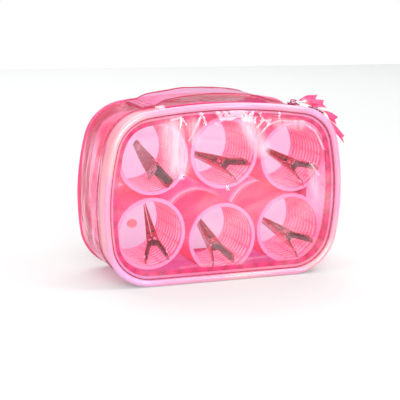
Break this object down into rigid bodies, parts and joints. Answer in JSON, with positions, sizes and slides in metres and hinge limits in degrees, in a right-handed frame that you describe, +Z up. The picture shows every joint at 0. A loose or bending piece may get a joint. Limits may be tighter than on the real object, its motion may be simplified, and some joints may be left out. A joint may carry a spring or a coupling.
{
  "type": "zip case of self-grip hair rollers",
  "caption": "Clear zip vanity case with a hinged front lid and strap handle, filled with self-grip hair rollers that each hold a sprung duckbill clip.",
  "frame": {"origin": "centre of the case footprint at table height, halfway along the case's depth", "axes": "+X to the right along the case's length, +Y from the front lid to the back, +Z up"},
  "size_m": [0.2221, 0.078, 0.1556],
  "materials": {
    "case_pvc": "clear tinted sheet",
    "lid_pvc": "clear tinted sheet",
    "strap_pvc": "clear tinted sheet",
    "strip_pink": "soft sheet",
    "piping_pearl": "pearly",
    "piping_pink": "glossy",
    "grosgrain_magenta": "ribbed tape",
    "binding_pink": "woven tape",
    "zip_tape": "woven tape",
    "zip_coil": "nylon coil",
    "zip_end": "clear tab",
    "patch_peach": "glossy",
    "nickel": "bright",
    "ribbon_pink": "satin ribbon",
    "roller_plastic": "translucent moulded",
    "hook_sleeve": "self-grip hooks",
    "pin_steel": "bright",
    "spring_steel": "dark",
    "clip_rose": "satin lacquer"
  },
  "bodies": {
    "case": {"back_panel": "case_pvc", "back_piping": "piping_pink", "back_binding": "binding_pink", "gusset": "case_pvc", "back_patch": "patch_peach", "handle_strap": "strap_pvc", "hinge_strip": "strip_pink", "zip_tape_case": "zip_tape", "zip_chain_case": "zip_coil", "zip_stop_top": "zip_end", "zip_stop_base": "zip_end"},
    "lid": {"front_panel": "lid_pvc", "front_piping": "piping_pearl", "front_binding": "grosgrain_magenta", "zip_tape_lid": "zip_tape", "zip_chain_lid": "zip_coil"},
    "slider_a": {"slider_a": "nickel"},
    "pull_a": {"pull_a": "nickel"},
    "ribbon_a": {"ribbon_a": "ribbon_pink"},
    "slider_b": {"slider_b": "nickel"},
    "pull_b": {"pull_b": "nickel"},
    "ribbon_b": {"ribbon_b": "ribbon_pink"},
    "roller_top_left": {"roller_core_top_left": "roller_plastic", "roller_hooks_top_left": "hook_sleeve"},
    "clip_top_left": {"clip_wide_top_left": "clip_rose", "clip_pin_top_left": "pin_steel", "clip_spring_top_left": "spring_steel"},
    "jaw_top_left": {"clip_narrow_top_left": "clip_rose"},
    "roller_top_mid": {"roller_core_top_mid": "roller_plastic", "roller_hooks_top_mid": "hook_sleeve"},
    "clip_top_mid": {"clip_wide_top_mid": "clip_rose", "clip_pin_top_mid": "pin_steel", "clip_spring_top_mid": "spring_steel"},
    "jaw_top_mid": {"clip_narrow_top_mid": "clip_rose"},
    "roller_top_right": {"roller_core_top_right": "roller_plastic", "roller_hooks_top_right": "hook_sleeve"},
    "clip_top_right": {"clip_wide_top_right": "clip_rose", "clip_pin_top_right": "pin_steel", "clip_spring_top_right": "spring_steel"},
    "jaw_top_right": {"clip_narrow_top_right": "clip_rose"},
    "roller_low_left": {"roller_core_low_left": "roller_plastic", "roller_hooks_low_left": "hook_sleeve"},
    "clip_low_left": {"clip_wide_low_left": "clip_rose", "clip_pin_low_left": "pin_steel", "clip_spring_low_left": "spring_steel"},
    "jaw_low_left": {"clip_narrow_low_left": "clip_rose"},
    "roller_low_mid": {"roller_core_low_mid": "roller_plastic", "roller_hooks_low_mid": "hook_sleeve"},
    "clip_low_mid": {"clip_wide_low_mid": "clip_rose", "clip_pin_low_mid": "pin_steel", "clip_spring_low_mid": "spring_steel"},
    "jaw_low_mid": {"clip_narrow_low_mid": "clip_rose"},
    "roller_low_right": {"roller_core_low_right": "roller_plastic", "roller_hooks_low_right": "hook_sleeve"},
    "clip_low_right": {"clip_wide_low_right": "clip_rose", "clip_pin_low_right": "pin_steel", "clip_spring_low_right": "spring_steel"},
    "jaw_low_right": {"clip_narrow_low_right": "clip_rose"}
  },
  "joints": [
    {"name": "lid_hinge", "type": "hinge", "parent": "case", "child": "lid", "pos_m": [-0.107, -0.0333, 0.067], "axis": [0, 0, -1], "range_deg": [0, 170], "deforming": ["hinge_strip"]},
    {"name": "slider_a_run", "type": "hinge", "parent": "case", "child": "slider_a", "pos_m": [0, -0.0252, -0.33], "axis": [0, -1, 0], "range_deg": [0, 12.5]},
    {"name": "pull_a_swing", "type": "hinge", "parent": "slider_a", "child": "pull_a", "pos_m": [0.06399, -0.0252, 0.14829], "axis": [0, -1, 0], "range_deg": [0, 140]},
    {"name": "ribbon_a_swing", "type": "hinge", "parent": "pull_a", "child": "ribbon_a", "pos_m": [0.07218, -0.0252, 0.14849], "axis": [0, -1, 0], "range_deg": [0, 30]},
    {"name": "slider_b_run", "type": "hinge", "parent": "case", "child": "slider_b", "pos_m": [0.06421, -0.0252, 0.10731], "axis": [0, 1, 0], "range_deg": [0, 38]},
    {"name": "pull_b_swing", "type": "hinge", "parent": "slider_b", "child": "pull_b", "pos_m": [0.08448, -0.0252, 0.14243], "axis": [0, -1, 0], "range_deg": [0, 28]},
    {"name": "ribbon_b_swing", "type": "hinge", "parent": "pull_b", "child": "ribbon_b", "pos_m": [0.09159, -0.0252, 0.13833], "axis": [0, -1, 0], "range_deg": [0, 60]},
    {"name": "roller_top_left_slide", "type": "slide", "parent": "case", "child": "roller_top_left", "axis": [0, -1, 0], "range_m": [0, 0.0662]},
    {"name": "clip_top_left_slide", "type": "slide", "parent": "roller_top_left", "child": "clip_top_left", "axis": [0, -1, 0], "range_m": [0, 0.0562]},
    {"name": "clip_top_left_jaw", "type": "hinge", "parent": "clip_top_left", "child": "jaw_top_left", "pos_m": [-0.0563, -0.0092, 0.0953], "axis": [-0.5299, 0.2479, -0.811], "range_deg": [0, 15], "stiffness_Nm_per_rad": 0.2, "springref_deg": -22.92, "deforming": ["clip_spring_top_left"]},
    {"name": "roller_top_mid_slide", "type": "slide", "parent": "case", "child": "roller_top_mid", "axis": [0, -1, 0], "range_m": [0, 0.0662]},
    {"name": "clip_top_mid_slide", "type": "slide", "parent": "roller_top_mid", "child": "clip_top_mid", "axis": [0, -1, 0], "range_m": [0, 0.0562]},
    {"name": "clip_top_mid_jaw", "type": "hinge", "parent": "clip_top_mid", "child": "jaw_top_mid", "pos_m": [0.0063, -0.009, 0.0944], "axis": [-0.6905, -0.3507, 0.6327], "range_deg": [0, 15], "stiffness_Nm_per_rad": 0.2, "springref_deg": -22.92, "deforming": ["clip_spring_top_mid"]},
    {"name": "roller_top_right_slide", "type": "slide", "parent": "case", "child": "roller_top_right", "axis": [0, -1, 0], "range_m": [0, 0.0662]},
    {"name": "clip_top_right_slide", "type": "slide", "parent": "roller_top_right", "child": "clip_top_right", "axis": [0, -1, 0], "range_m": [0, 0.0562]},
    {"name": "clip_top_right_jaw", "type": "hinge", "parent": "clip_top_right", "child": "jaw_top_right", "pos_m": [0.0722, -0.0095, 0.0907], "axis": [-0.6952, -0.3501, 0.6278], "range_deg": [0, 15], "stiffness_Nm_per_rad": 0.2, "springref_deg": -22.92, "deforming": ["clip_spring_top_right"]},
    {"name": "roller_low_left_slide", "type": "slide", "parent": "case", "child": "roller_low_left", "axis": [0, -1, 0], "range_m": [0, 0.0662]},
    {"name": "clip_low_left_slide", "type": "slide", "parent": "roller_low_left", "child": "clip_low_left", "axis": [0, -1, 0], "range_m": [0, 0.0562]},
    {"name": "clip_low_left_jaw", "type": "hinge", "parent": "clip_low_left", "child": "jaw_low_left", "pos_m": [-0.0552, -0.009, 0.0329], "axis": [-0.3013, -0.4035, 0.8639], "range_deg": [0, 15], "stiffness_Nm_per_rad": 0.2, "springref_deg": -22.92, "deforming": ["clip_spring_low_left"]},
    {"name": "roller_low_mid_slide", "type": "slide", "parent": "case", "child": "roller_low_mid", "axis": [0, -1, 0], "range_m": [0, 0.0662]},
    {"name": "clip_low_mid_slide", "type": "slide", "parent": "roller_low_mid", "child": "clip_low_mid", "axis": [0, -1, 0], "range_m": [0, 0.0562]},
    {"name": "clip_low_mid_jaw", "type": "hinge", "parent": "clip_low_mid", "child": "jaw_low_mid", "pos_m": [-0.0002, -0.0095, 0.0247], "axis": [-0.2213, -0.4221, 0.8791], "range_deg": [0, 15], "stiffness_Nm_per_rad": 0.2, "springref_deg": -22.92, "deforming": ["clip_spring_low_mid"]},
    {"name": "roller_low_right_slide", "type": "slide", "parent": "case", "child": "roller_low_right", "axis": [0, -1, 0], "range_m": [0, 0.0662]},
    {"name": "clip_low_right_slide", "type": "slide", "parent": "roller_low_right", "child": "clip_low_right", "axis": [0, -1, 0], "range_m": [0, 0.0562]},
    {"name": "clip_low_right_jaw", "type": "hinge", "parent": "clip_low_right", "child": "jaw_low_right", "pos_m": [0.0703, -0.0095, 0.0278], "axis": [0.5486, 0.3306, -0.768], "range_deg": [0, 15], "stiffness_Nm_per_rad": 0.2, "springref_deg": -22.92, "deforming": ["clip_spring_low_right"]}
  ],
  "couplings": [
    {"joint": "roller_top_left_slide", "follows": "lid_hinge", "m_per_rad": 0.022244},
    {"joint": "clip_top_left_slide", "follows": "lid_hinge", "m_per_rad": 0.018874},
    {"joint": "roller_top_mid_slide", "follows": "lid_hinge", "m_per_rad": 0.022244},
    {"joint": "clip_top_mid_slide", "follows": "lid_hinge", "m_per_rad": 0.018874},
    {"joint": "roller_top_right_slide", "follows": "lid_hinge", "m_per_rad": 0.022244},
    {"joint": "clip_top_right_slide", "follows": "lid_hinge", "m_per_rad": 0.018874},
    {"joint": "roller_low_left_slide", "follows": "lid_hinge", "m_per_rad": 0.022244},
    {"joint": "clip_low_left_slide", "follows": "lid_hinge", "m_per_rad": 0.018874},
    {"joint": "roller_low_mid_slide", "follows": "lid_hinge", "m_per_rad": 0.022244},
    {"joint": "clip_low_mid_slide", "follows": "lid_hinge", "m_per_rad": 0.018874},
    {"joint": "roller_low_right_slide", "follows": "lid_hinge", "m_per_rad": 0.022244},
    {"joint": "clip_low_right_slide", "follows": "lid_hinge", "m_per_rad": 0.018874}
  ]
}
